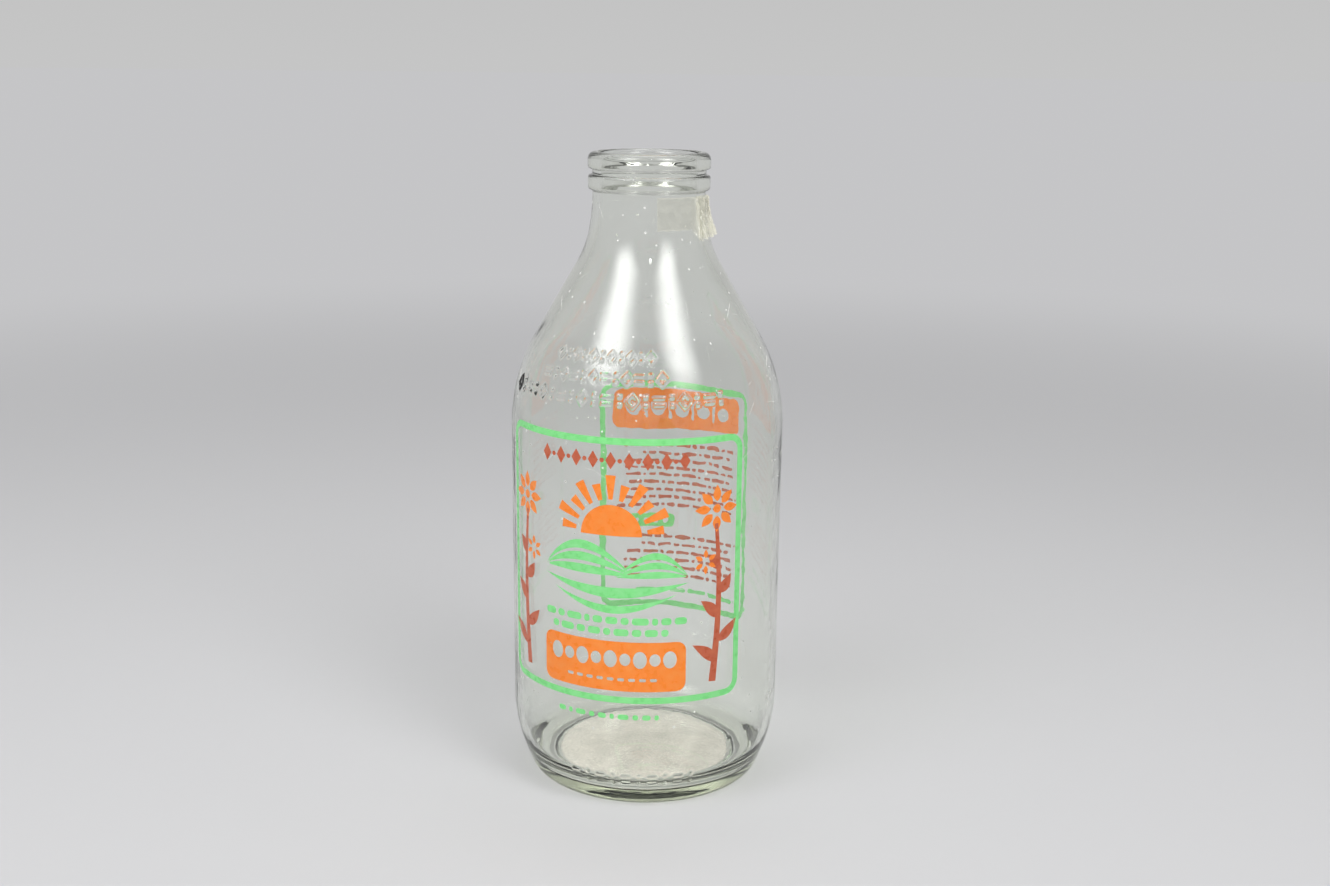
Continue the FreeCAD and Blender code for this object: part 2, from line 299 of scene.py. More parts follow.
def lathe(name, rows, columns, reach):
    """Closed mesh turned from rows of (radius, level); reach(angle, rows) moves the points."""
    rows = np.array(rows)
    radius, level = rows[:, 0], rows[:, 1]
    tangent = np.gradient(rows, axis=0)
    tangent /= np.maximum(np.hypot(*tangent.T), 1e-9)[:, None]
    normal = np.stack([tangent[:, 1], -tangent[:, 0]], 1)
    angle = columns[None, :]
    out = np.zeros((len(rows), len(columns))) + reach(angle, radius[:, None], level[:, None])
    r = radius[:, None] + normal[:, :1] * out
    z = level[:, None] + normal[:, 1:] * out
    grid = np.stack([r * np.sin(angle), -r * np.cos(angle), z], -1)[1:-1]
    count = len(columns)
    points = [grid.reshape(-1, 3), [[0, 0, level[0]]], [[0, 0, level[-1]]]]
    points = np.concatenate(points) * MM
    start = np.arange(grid.shape[0] - 1)[:, None] * count
    here, after = np.arange(count)[None, :], (np.arange(count)[None, :] + 1) % count
    quads = np.stack([start + here, start + after, start + count + after, start + count + here], -1)
    faces = [tuple(map(int, q)) for q in quads.reshape(-1, 4)]
    last = (grid.shape[0] - 1) * count
    pole = len(points) - 2
    for k in range(count):
        n = (k + 1) % count
        faces.append((pole, n, k))
        faces.append((pole + 1, last + k, last + n))
    mesh = bpy.data.meshes.new(name)
    mesh.from_pydata([tuple(p) for p in points], [], faces)
    mesh.polygons.foreach_set("use_smooth", [True] * len(mesh.polygons))
    mesh.update()
    piece = bpy.data.objects.new(name, mesh)
    bpy.context.scene.collection.objects.link(piece)
    return piece


SKIN_WAVE, HOLLOW_WAVE = 0.05, 0.22                  # unevenness of the outside and of the cavity


def make_glass():
    outer, inner = outside_outline(), inside_outline()
    border = len(outer)
    index = np.arange(border + len(inner))[:, None]

    def reach(angle, radius, level):
        outside = index < border
        body = np.clip((level - 20) / 12, 0, 1) * np.clip((158 - level) / 12, 0, 1)
        skin = -SKIN_WAVE * (1 + unevenness(angle, level, 0.4)) * body
        hollow = HOLLOW_WAVE * unevenness(angle, level, 2.1) * body
        raised = mark_height(angle, level, radius) * outside
        return np.where(outside, skin + raised, hollow)

    return lathe("glass", outer + inner, glass_columns(), reach)


glass = make_glass()
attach(glass, "root")
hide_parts("bottle")
print("glass faces", len(glass.data.polygons))


# ---- enamel print ---------------------------------------------------------------------------
# A design is drawn flat, in millimetres across from its middle and up from the foot of the
# bottle, and is then laid round the body. A shape is a list of loops: an outline and its holes.
INK_BACK, INK_FRONT = 0.012, 0.042                   # enamel between these heights above the glass
INK_STEP = 1.6                                       # longest side of a print outline
INK_CLEAR = 0.3                                      # room between an outline and the inner points


def sampled_arc(cx, cz, radius_x, radius_z, start, end, steps):
    """Points of an upright ellipse's stretch, angles in degrees from +X."""
    turns = [math.radians(start + (end - start) * k / steps) for k in range(steps + 1)]
    return [(cx + radius_x * math.cos(t), cz + radius_z * math.sin(t)) for t in turns]


def rounded_box(cx, cz, width, height, radius):
    loop = []
    for sx, sz, start in ((1, 1, 0), (-1, 1, 90), (-1, -1, 180), (1, -1, 270)):
        x, z = cx + sx * (width / 2 - radius), cz + sz * (height / 2 - radius)
        loop += sampled_arc(x, z, radius, radius, start, start + 90, 5)
    return loop


def disc(cx, cz, radius_x, radius_z=None):
    return sampled_arc(cx, cz, radius_x, radius_z or radius_x, 0, 345, 23)


def leaf(x, z, length, width, lean, bend=0.0):
    """Pointed leaf or petal from its foot, leaning clockwise from upright by lean degrees."""
    turn = math.radians(lean)
    loop = []
    for side in (1, -1):
        for k in range(12):
            t = k / 12 if side == 1 else 1 - k / 12
            out = side * width / 2 * math.sin(math.pi * t ** 0.8) + bend * math.sin(math.pi * t)
            along = t * length
            loop.append((x + along * math.sin(turn) + out * math.cos(turn),
                         z + along * math.cos(turn) - out * math.sin(turn)))
    return loop


def ribbon(centre, width, steps=24):
    """Band along centre(t), with width(t), for t from 0 to 1."""
    left, right = [], []
    for k in range(steps + 1):
        t = k / steps
        here, ahead = np.array(centre(t)), np.array(centre(t + 0.01))
        aside = unit(np.array([here[1] - ahead[1], ahead[0] - here[0]])) * width(t) / 2
        left.append(tuple(here + aside))
        right.append(tuple(here - aside))
    return left + right[::-1]


def inside_loops(points, loops):
    """Even-odd test of points against loops."""
    inside = np.zeros(len(points), bool)
    x, z = points[:, 0], points[:, 1]
    for loop in loops:
        for (ax, az), (bx, bz) in zip(loop, loop[1:] + loop[:1]):
            if az != bz:
                crosses = (az > z) != (bz > z)
                inside ^= crosses & (x < ax + (z - az) * (bx - ax) / (bz - az))
    return inside


def divided(loop):
    """The same loop with its long sides cut into short ones."""
    points = []
    for start, end in zip(loop, loop[1:] + loop[:1]):
        parts = max(1, math.ceil(math.dist(start, end) / INK_STEP))
        points += [tuple(np.array(start) + (np.array(end) - start) * k / parts) for k in range(parts)]
    return points


def filled(shape):
    """Points and triangles that fill a shape, with inner points to let it bend round the body."""
    loops = [divided(loop) for loop in shape]
    outline = [Vector(p) for loop in loops for p in loop]
    edges = []
    first = 0
    for loop in loops:
        count = len(loop)
        edges += [(first + k, first + (k + 1) % count) for k in range(count)]
        first += count
    rim = np.array([tuple(p) for p in outline])
    low, high = rim.min(0), rim.max(0)
    across, up = np.arange(low[0], high[0], INK_STEP), np.arange(low[1], high[1], 3 * INK_STEP)
    grid = np.stack(np.meshgrid(across, up), -1).reshape(-1, 2)
    grid = grid[inside_loops(grid, loops)]
    if len(grid):
        gap = np.min(np.hypot(*(grid[:, None] - rim[None]).transpose(2, 0, 1)), axis=1)
        grid = grid[gap > INK_CLEAR]
    points, _, faces, *_ = delaunay_2d_cdt(outline + [Vector(p) for p in grid], edges, [], 0, 1e-4, True)
    points = np.array([tuple(p) for p in points])
    faces = np.array([f for f in faces if len(f) == 3])
    return points, faces[inside_loops(points[faces].mean(1), loops)]


def laid_on_body(points, middle, lift):
    angle = math.radians(middle) + points[:, 0] / BODY
    radius = outside_radius(points[:, 1]) + lift
    return np.stack([radius * np.sin(angle), -radius * np.cos(angle), points[:, 1]], -1)


def new_piece(name, points, faces, finish, smooth=True):
    """A mesh piece in millimetres that rides on the bottle, with its material."""
    mesh = bpy.data.meshes.new(name)
    mesh.from_pydata([tuple(p) for p in np.array(points) * MM], [], faces)
    mesh.polygons.foreach_set("use_smooth", [smooth] * len(mesh.polygons))
    mesh.materials.append(finish)
    mesh.update()
    piece = bpy.data.objects.new(name, mesh)
    bpy.context.scene.collection.objects.link(piece)
    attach(piece, "root")
    return piece


def ink_piece(name, designs, finish):
    """One colour of enamel: closed thin shells for every shape of every (middle, shapes) design."""
    points, faces = [], []
    for middle, shapes in designs:
        for loops in shapes:
            flat, triangles = filled(loops)
            start = sum(len(p) for p in points)
            count = len(flat)
            points += [laid_on_body(flat, middle, INK_FRONT), laid_on_body(flat, middle, INK_BACK)]
            rim = {}
            for a, b, c in triangles.tolist():
                faces.append((start + a, start + b, start + c))
                faces.append((start + count + c, start + count + b, start + count + a))
                for edge in ((a, b), (b, c), (c, a)):
                    rim[edge] = True
            for a, b in rim:
                if (b, a) not in rim:
                    faces.append((start + b, start + a, start + count + a, start + count + b))
    piece = new_piece(name, np.concatenate(points), faces, finish, smooth=False)
    print(name, len(faces), "faces")
    return piece


# ---- the two designs ------------------------------------------------------------------------
FRONT_MIDDLE, FRONT_WIDTH, FRONT_LOW, FRONT_HIGH = -14.3, 75.8, 33.5, 108.4
BACK_MIDDLE, BACK_WIDTH, BACK_LOW, BACK_HIGH = 163.8, 53.0, 35.0, 108.4
BORDER, BORDER_CORNER = 1.85, 4.4


def border(width, low, high, line_width=BORDER):
    middle, height = (low + high) / 2, high - low
    inner_width, inner_height = width - 2 * line_width, height - 2 * line_width
    return [rounded_box(0, middle, width, height, BORDER_CORNER),
            rounded_box(0, middle, inner_width, inner_height, BORDER_CORNER - line_width)]


def dashes(start, end, level, height, lengths, gap):
    """A row of round-ended dashes that repeats the lengths until it reaches the end."""
    row = []
    x = start
    k = 0
    while x + lengths[k % len(lengths)] <= end:
        length = lengths[k % len(lengths)]
        row.append([rounded_box(x + length / 2, level, length, height, min(length, height) * 0.42)])
        x += length + gap
        k += 1
    return row


def hill(left, right, foot, height, peak, dip, rows):
    """A ploughed hill: curved green bands with clear furrows between them."""
    bands = []
    for k in range(rows):
        top, low = 1 - k / rows, 1 - (k + 0.72) / rows
        steps = 26
        upper, under = [], []
        for j in range(steps + 1):
            t = j / steps
            x = left + (right - left) * t
            shape = math.sin(math.pi * t ** peak) ** 0.9 * height
            base = foot + dip * math.sin(math.pi * t)
            upper.append((x, base + shape * top))
            under.append((x, base + shape * low))
        inner = slice(1, -1) if k else slice(0, None)
        bands.append([upper[inner] + under[1:-1][::-1]])
    return bands


def meadow(left, right, level, upper_sag, lower_sag):
    """Crescent field below the hills."""
    across = np.linspace(0, 1, 25)
    upper = [(left + (right - left) * t, level + upper_sag * math.sin(math.pi * t)) for t in across]
    under = [(left + (right - left) * t, level + lower_sag * math.sin(math.pi * t)) for t in across[1:-1]]
    return upper + under[::-1]


def sun(cx, cz, radius, rays):
    """Half sun and its rays, long and short by turns, each a wedge between two arcs."""
    shapes = [[sampled_arc(cx, cz, radius, radius, 0, 180, 26)]]
    for k in range(rays):
        angle = 180 * (k + 0.5) / rays
        inner, outer = radius + 1.5, radius + (8.2 if k % 2 else 6.0)
        half_in, half_out = 180 / rays * 0.2, 180 / rays * 0.3
        loop = sampled_arc(cx, cz, inner, inner, angle - half_in, angle + half_in, 3)
        loop += sampled_arc(cx, cz, outer, outer, angle + half_out, angle - half_out, 4)
        shapes.append([loop])
    return shapes


def flower(x, z, size, petals):
    """Petals that stand apart round an open middle."""
    shapes = []
    foot, length, width = size * 0.38, size * 0.85, size * 0.46
    for k in range(petals):
        lean = 360 * k / petals
        turn = math.radians(lean)
        shapes.append([leaf(x + foot * math.sin(turn), z + foot * math.cos(turn), length, width, lean)])
    return shapes


def stem(x, foot, top, sway):
    def centre(t):
        return (x + sway * math.sin(math.pi * 0.9 * t), foot + (top - foot) * t)
    return [[ribbon(centre, lambda t: 2.2 - 1.1 * t)]]


def lozenges(start, end, level, size, count):
    """A row of diamonds with small dots between them."""
    row = []
    for k in range(count):
        x = start + (end - start) * k / (count - 1)
        half = size * 0.62
        row.append([[(x - half, level), (x, level - size), (x + half, level), (x, level + size)]])
        if k < count - 1:
            between = x + (end - start) / (count - 1) / 2
            row.append([disc(between, level, size * 0.26)])
    return row


def panel(cx, cz, width, height, radius, holes):
    return [[rounded_box(cx, cz, width, height, radius)] + holes]


def front_design():
    green = [border(FRONT_WIDTH, FRONT_LOW, FRONT_HIGH)]
    green += hill(-20.5, 6, 70.4, 10.2, 0.9, -1.2, 3)
    green += hill(1, 21.5, 69.8, 8.0, 1.15, -0.8, 3)
    green += [[meadow(-20.5, 21.5, 68.2, -1.4, -4.4)], [meadow(-17.2, 18.2, 65.0, -3.4, -5.6)]]
    green += dashes(-20.5, 21.5, 57.4, 2.0, (3.4, 2.2, 4.6, 1.6, 2.8), 0.9)
    green += dashes(-18, 19.5, 54.1, 2.0, (2.0, 4.2, 2.6, 3.6), 0.9)
    green += dashes(-16, 17.4, 29.4, 1.5, (2.3, 1.2, 3.0, 1.6), 1.1)
    drops = [disc(x, 46.3, 1.9 - 0.35 * (k % 2), 2.5 - 0.7 * (k % 2))[::-1]
             for k, x in enumerate(np.linspace(-16.5, 16.5, 9))]
    seeds = [rounded_box(x, 40.4, 1.9, 0.9, 0.4)[::-1] for x in np.linspace(-12, 12, 9)]
    orange = panel(0, 44.2, 42, 14.4, 2.6, drops + seeds)
    orange += sun(0, 81.4, 8.6, 11)
    rust = lozenges(-20, 20, 102.2, 2.4, 9)
    for side in (-1, 1):
        x = side * 29
        rust += stem(x, 38.5, 84, side * 1.6)
        for k, z in enumerate((44, 50, 57, 64, 71)):
            lean = (52 - 4 * k) * (1 if k % 2 else -1)
            rust.append([leaf(x + side * 1.4, z, 9.6 - 1.0 * k, 3.2, lean, 0.5)])
        orange += flower(x + side * 0.6, 88.2, 5.4, 8)
        orange += [[disc(x + side * 0.6, 88.2, 1.2)]]
        orange += flower(x - side * 2.6, 73.5, 2.9, 6)
    return green, orange, rust


def back_design():
    green = [border(BACK_WIDTH, BACK_LOW, BACK_HIGH)]
    green += panel(9.5, 63.2, 15.5, 4.4, 1.7, [disc(x, 63.2, 0.9)[::-1] for x in (4.8, 7.9, 11.1, 14.2)])
    green += dashes(-20, 20, 40.6, 1.2, (5.2, 3.0, 6.6), 1.0)
    holes = [disc(x, 99.7, 2.3)[::-1] for x in np.linspace(-15, 15, 5)]
    holes += [rounded_box(x, 99.7, 0.9, 6.2, 0.4)[::-1] for x in np.linspace(-11.2, 11.2, 4)]
    orange = panel(0, 99.7, 44.0, 12.2, 2.8, holes)
    rust = []
    for k, level in enumerate(np.linspace(88.5, 45.5, 18)):
        if abs(level - 63.2) > 3.4:
            start, end = -20.5 + (k * 5 % 3), 20.5 - (k * 7 % 4)
            rust += dashes(start, end, level, 1.0, (3.2, 1.8, 4.4, 2.4, 1.2)[k % 3:] + (5.0,), 0.8)
    return green, orange, rust


# ---- materials ------------------------------------------------------------------------------
def material(name):
    made = bpy.data.materials.new(name)
    made.use_nodes = True
    made.node_tree.nodes.clear()
    return made, made.node_tree.nodes, made.node_tree.links


def noise(nodes, links, scale, detail=3.0, stretch=(1, 1, 1)):
    """Noise over the object's own coordinates, in metres."""
    place = nodes.new("ShaderNodeTexCoord")
    mapping = nodes.new("ShaderNodeMapping")
    mapping.inputs["Scale"].default_value = stretch
    made = nodes.new("ShaderNodeTexNoise")
    made.inputs["Scale"].default_value = scale
    made.inputs["Detail"].default_value = detail
    links.new(place.outputs["Object"], mapping.inputs["Vector"])
    links.new(mapping.outputs[0], made.inputs["Vector"])
    return made.outputs["Fac"]


def spread(nodes, links, value, low, high, to_low, to_high):
    """Map a value's range onto another one, held at its ends."""
    made = nodes.new("ShaderNodeMapRange")
    for name, number in (("From Min", low), ("From Max", high), ("To Min", to_low), ("To Max", to_high)):
        made.inputs[name].default_value = number
    links.new(value, made.inputs["Value"])
    return made.outputs["Result"]


def glass_material():
    made, nodes, links = material("clear_glass")
    out = nodes.new("ShaderNodeOutputMaterial")
    shader = nodes.new("ShaderNodeBsdfGlass")
    shader.inputs["IOR"].default_value = 1.5
    shader.inputs["Color"].default_value = (0.985, 0.99, 0.98, 1)
    haze = noise(nodes, links, 90.0, 4.0, (1, 1, 0.6))
    links.new(spread(nodes, links, haze, 0.5, 0.8, 0.0, 0.05), shader.inputs["Roughness"])
    bump = nodes.new("ShaderNodeBump")
    bump.inputs["Strength"].default_value = 0.12
    bump.inputs["Distance"].default_value = 0.0004
    links.new(noise(nodes, links, 160.0, 2.0), bump.inputs["Height"])
    links.new(bump.outputs[0], shader.inputs["Normal"])
    clear = nodes.new("ShaderNodeBsdfTransparent")
    clear.inputs["Color"].default_value = (0.96, 0.965, 0.955, 1)
    path = nodes.new("ShaderNodeLightPath")
    mix = nodes.new("ShaderNodeMixShader")
    links.new(path.outputs["Is Shadow Ray"], mix.inputs[0])
    links.new(shader.outputs[0], mix.inputs[1])
    links.new(clear.outputs[0], mix.inputs[2])
    links.new(mix.outputs[0], out.inputs["Surface"])
    volume = nodes.new("ShaderNodeVolumeAbsorption")
    volume.inputs["Color"].default_value = (0.83, 0.88, 0.64, 1)
    volume.inputs["Density"].default_value = 17.0
    links.new(volume.outputs[0], out.inputs["Volume"])
    return made


def enamel(name, colour, pale):
    """Fired enamel: glossy, a little uneven in thickness, so paler in fine patches."""
    made, nodes, links = material(name)
    out = nodes.new("ShaderNodeOutputMaterial")
    shader = nodes.new("ShaderNodeBsdfPrincipled")
    mix = nodes.new("ShaderNodeMix")
    mix.data_type = "RGBA"
    mix.inputs[6].default_value = (*colour, 1)
    mix.inputs[7].default_value = (*pale, 1)
    patches = noise(nodes, links, 420.0, 4.0)
    links.new(spread(nodes, links, patches, 0.45, 0.75, 0.0, 0.75), mix.inputs[0])
    links.new(mix.outputs[2], shader.inputs["Base Color"])
    links.new(spread(nodes, links, patches, 0.3, 0.7, 0.22, 0.4), shader.inputs["Roughness"])
    bump = nodes.new("ShaderNodeBump")
    bump.inputs["Strength"].default_value = 0.25
    bump.inputs["Distance"].default_value = 0.0001
    links.new(noise(nodes, links, 1500.0, 2.0), bump.inputs["Height"])
    links.new(bump.outputs[0], shader.inputs["Normal"])
    links.new(shader.outputs[0], out.inputs["Surface"])
    return made


glass.data.materials.append(glass_material())
designs = list(zip(front_design(), back_design()))
inks = (("print_green", (0.21, 0.73, 0.235), (0.29, 0.77, 0.32)),
        ("print_orange", (0.93, 0.235, 0.02), (0.94, 0.3, 0.055)),
        ("print_rust", (0.5, 0.1, 0.04), (0.6, 0.16, 0.07)))
for (front, back), (name, colour, pale) in zip(designs, inks):
    ink_piece(name, ((FRONT_MIDDLE, front), (BACK_MIDDLE, back)), enamel(name, colour, pale))


# ---- sticky tape on the neck ----------------------------------------------------------------
TAPE_START, TAPE_GATHER, TAPE_END = 8.0, 46.0, 97.0
TAPE_TOP, TAPE_FOOT, TAPE_FLAP_FOOT, TAPE_TIP_FOOT = 169.35, 160.5, 157.3, 158.7
TAPE_FILM = 0.07                                     # thickness of the film
# angle at the foot, angle at the top, half width in degrees, rise at the foot and at the top in mm
PLEATS = ((49.5, 52.5, 1.9, 1.15, 0.7), (54.5, 50.5, 1.5, 0.8, 0.9), (60.0, 61.5, 2.4, 1.25, 0.35),
          (66.0, 64.0, 1.7, 0.6, 0.8), (72.5, 71.0, 2.2, 1.3, 0.45), (79.0, 81.5, 1.6, 0.8, 0.75),
          (85.0, 84.0, 2.3, 1.5, 0.3), (92.0, 90.0, 2.6, 1.75, 0.5))


def tape_lift(angle, up):
    """How far the film stands off the glass, for arrays of angle in degrees and height from 0 to 1."""
    lift = 0.07 + 0.03 * np.sin(angle * 0.9 + 4 * up) * np.sin(up * 9 + angle * 0.23)
    for foot, top, half, rise_foot, rise_top in PLEATS:
        middle = foot + (top - foot) * up + 0.7 * np.sin(up * 7 + foot)
        rise = rise_foot + (rise_top - rise_foot) * up ** 0.8
        lift = lift + rise * np.clip(1 - np.abs(angle - middle) / half, 0, 1)
    loose = np.clip((angle - TAPE_GATHER) / 6, 0, 1)
    crumple = 0.24 * np.abs(np.sin(angle * 1.31 + up * 6.1)) * np.abs(np.cos(up * 12.7 - angle * 0.57))
    return lift + loose * (crumple + 0.42 * (1 - up) ** 2)


def tape_foot(angle):
    """Level of the film's lower edge."""
    drop = np.interp(angle, (TAPE_START, TAPE_GATHER - 1, TAPE_GATHER + 5, 62, 78, TAPE_END),
                     (TAPE_FOOT, TAPE_FOOT + 0.15, TAPE_FLAP_FOOT, 158.2, 158.0, TAPE_TIP_FOOT))
    return drop + 0.12 * np.sin(angle * 0.6) + 0.1 * np.sin(angle * 2.3)


def make_tape():
    flat, folded = np.arange(TAPE_START, TAPE_GATHER, 1.0), np.arange(TAPE_GATHER, TAPE_END, 0.3)
    angle = np.concatenate([flat, folded])[:, None]
    up = np.linspace(0, 1, 34)[None, :]
    ragged = 0.35 * np.sin(up * 17) + 0.2 * np.sin(up * 41)
    angle = angle + ragged * np.clip((angle - TAPE_END + 3) / 3, 0, 1)
    foot = tape_foot(angle)
    level = foot + (TAPE_TOP - foot - 0.25 * np.clip((angle - TAPE_GATHER) / 20, 0, 1)) * up
    sides = []
    for skin in (0, TAPE_FILM):
        radius = outside_radius(level) + tape_lift(angle, up) + skin
        turn = np.radians(angle) + 0 * level
        sides.append(np.stack([radius * np.sin(turn), -radius * np.cos(turn), level], -1).reshape(-1, 3))
    rows, columns = level.shape
    count = rows * columns
    faces = []
    for i in range(rows - 1):
        for j in range(columns - 1):
            a, b = i * columns + j, (i + 1) * columns + j
            c, d = b + 1, a + 1
            faces += [(a, d, c, b), (count + a, count + b, count + c, count + d)]
    rim = [i * columns for i in range(rows)] + [(rows - 1) * columns + j for j in range(1, columns)]
    rim += [i * columns + columns - 1 for i in range(rows - 2, -1, -1)] + list(range(columns - 2, 0, -1))
    for a, b in zip(rim, rim[1:] + rim[:1]):
        faces.append((a, b, count + b, count + a))
    tape = new_piece("tape_film", np.concatenate(sides), faces, tape_material(), smooth=False)
    loose = tape.data.attributes.new("loose", "FLOAT", "POINT")
    # Painted highlight: this mask whitens the flap's fold crests in place of glints on the creases,
    # besides clouding the film where it stands off the glass; it is also paler along the film's rim.
    folds = np.clip(tape_lift(angle, up) / 1.5, 0, 1) ** 1.6
    flap_lift_and_highlight = np.clip((angle - TAPE_GATHER) / 6, 0, 1) * folds
    rim = np.clip(1 - np.minimum(np.minimum(up, 1 - up) * 9, angle - TAPE_START) / 0.5, 0, 1)
    value = np.maximum(flap_lift_and_highlight, 0.3 * rim).reshape(-1)
    loose.data.foreach_set("value", np.tile(value, 2).astype(np.float32))
    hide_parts("neck_tape")


def scatter(nodes, links, colour, through):
    """Thin clouded film: a share of its light goes through and the rest comes back."""
    front = nodes.new("ShaderNodeBsdfDiffuse")
    back = nodes.new("ShaderNodeBsdfTranslucent")
    both = nodes.new("ShaderNodeMixShader")
    both.inputs[0].default_value = through
    for slot, shader in ((1, front), (2, back)):
        shader.inputs["Color"].default_value = (*colour, 1)
        links.new(shader.outputs[0], both.inputs[slot])
    return both.outputs[0]


def tape_material():
    """Clear film a little clouded by its glue, glossy, whiter where its folds stand off the glass; the
    whiter fold crests are partly a painted highlight, standing in for glints on the creases.
    """
    made, nodes, links = material("clear_tape")
    out = nodes.new("ShaderNodeOutputMaterial")
    clear = nodes.new("ShaderNodeBsdfTransparent")
    clear.inputs["Color"].default_value = (0.965, 0.96, 0.935, 1)
    # The 'loose' attribute clouds the film where it stands off the glass and paints its fold crests
    # whiter, a painted highlight for the glints on the creases.
    lift_cloud_and_highlight = nodes.new("ShaderNodeAttribute")
    lift_cloud_and_highlight.attribute_name = "loose"
    cloud_and_highlight = nodes.new("ShaderNodeMath")
    cloud_and_highlight.operation = "MULTIPLY_ADD"
    links.new(lift_cloud_and_highlight.outputs["Fac"], cloud_and_highlight.inputs[0])
    cloud_and_highlight.inputs[1].default_value = 0.5
    links.new(spread(nodes, links, noise(nodes, links, 520.0, 5.0), 0.35, 0.7, 0.0, 0.08), cloud_and_highlight.inputs[2])
    cloud = nodes.new("ShaderNodeMixShader")
    links.new(cloud_and_highlight.outputs[0], cloud.inputs[0])
    links.new(clear.outputs[0], cloud.inputs[1])
    links.new(scatter(nodes, links, (0.99, 0.98, 0.9), 0.3), cloud.inputs[2])
    gloss = nodes.new("ShaderNodeBsdfGlossy")
    gloss.inputs["Roughness"].default_value = 0.08
    gloss.inputs["Color"].default_value = (1, 1, 1, 1)
    edge = nodes.new("ShaderNodeFresnel")
    edge.inputs["IOR"].default_value = 1.6
    outside = nodes.new("ShaderNodeMath")
    outside.operation = "SUBTRACT"
    outside.inputs[0].default_value = 1.0
    links.new(nodes.new("ShaderNodeNewGeometry").outputs["Backfacing"], outside.inputs[1])
    shine = nodes.new("ShaderNodeMath")
    shine.operation = "MULTIPLY"
    links.new(edge.outputs[0], shine.inputs[0])
    links.new(outside.outputs[0], shine.inputs[1])
    mix = nodes.new("ShaderNodeMixShader")
    links.new(shine.outputs[0], mix.inputs[0])
    links.new(cloud.outputs[0], mix.inputs[1])
    links.new(gloss.outputs[0], mix.inputs[2])
    links.new(mix.outputs[0], out.inputs["Surface"])
    return made


make_tape()


# ---- clouded base and small wear ------------------------------------------------------------
def film_material(name, colour, through, patches, low, high):
    """Thin pale haze: more or less of it by the given noise."""
    made, nodes, links = material(name)
    out = nodes.new("ShaderNodeOutputMaterial")
    clear = nodes.new("ShaderNodeBsdfTransparent")
    mix = nodes.new("ShaderNodeMixShader")
    value = None
    for scale, weight in patches:
        made_noise = spread(nodes, links, noise(nodes, links, scale, 3.0), 0.3, 0.7, 0.0, weight)
        if value is None:
            value = made_noise
        else:
            total = nodes.new("ShaderNodeMath")
            links.new(value, total.inputs[0])
            links.new(made_noise, total.inputs[1])
            value = total.outputs[0]
    links.new(spread(nodes, links, value, 0.0, 1.0, low, high), mix.inputs[0])
    links.new(clear.outputs[0], mix.inputs[1])
    links.new(scatter(nodes, links, colour, through), mix.inputs[2])
    links.new(mix.outputs[0], out.inputs["Surface"])
    return made


def make_base_haze():
    """Clouded skin in the hollow under the base."""
    margin, lower, upper = 0.9, 0.12, 0.05
    edge = BEARING - BEARING_WIDTH - STEP_RUN - margin
    rise = PUSH_UP - STEP_RISE
    dome = (edge ** 2 + rise ** 2) / (2 * rise)
    radii = np.linspace(0, edge, 30)
    level = PUSH_UP - dome + np.sqrt(dome ** 2 - radii ** 2)
    rows = [(r, z - lower) for r, z in zip(radii, level)]
    rows += [(r, z - upper) for r, z in zip(radii, level)][::-1]
    haze = lathe("base_haze", rows, np.radians(np.arange(0, 360, 3.0)), lambda angle, radius, level: 0)
    patches = ((120, 0.55), (1500, 0.45))
    haze.data.materials.append(film_material("base_cloud", (1.0, 0.93, 0.92), 0.08, patches, 0.35, 1.0))
    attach(haze, "root")


def make_wear():
    """Pinprick chips and fine scratches: the shoulder, two closer bands, the body and the neck."""
    random = np.random.default_rng(7)
    # number, lowest and highest level
    bands = ((150, 108, 152), (70, 97, 106), (60, 24, 32), (70, 32, 108), (30, 156, 168))
    points, faces = [], []
    for number, low, high in bands:
        for _ in range(number):
            angle, level = random.uniform(0, 2 * math.pi), random.uniform(low, high)
            scratch = random.random() < 0.16
            length = random.uniform(0.8, 3.0) if scratch else random.uniform(0.12, 0.42)
            width = 0.05 if scratch else length * random.uniform(0.5, 1.0)
            turn = random.uniform(0, math.pi)
            corners = 6
            start = len(points)
            for lift in (0.004, 0.03):
                for k in range(corners):
                    a = 2 * math.pi * k / corners
                    x, z = length * math.cos(a), width * math.sin(a)
                    across = x * math.cos(turn) - z * math.sin(turn)
                    rise = x * math.sin(turn) + z * math.cos(turn)
                    radius = float(outside_radius(level + rise)) + lift
                    place = angle + across / radius
                    points.append((radius * math.sin(place), -radius * math.cos(place), level + rise))
            faces.append(tuple(start + k for k in range(corners))[::-1])
            faces.append(tuple(start + corners + k for k in range(corners)))
            for k in range(corners):
                n = (k + 1) % corners
                faces.append((start + k, start + n, start + corners + n, start + corners + k))
    finish = film_material("worn_glass", (0.97, 0.97, 0.95), 0.3, ((900, 1.0),), 0.5, 1.0)
    new_piece("wear", points, faces, finish, smooth=False)


make_base_haze()
make_wear()


# ---- stage, light and camera ----------------------------------------------------------------
HORIZON, ZENITH = 0.56, 0.34                         # brightness of the pale surroundings


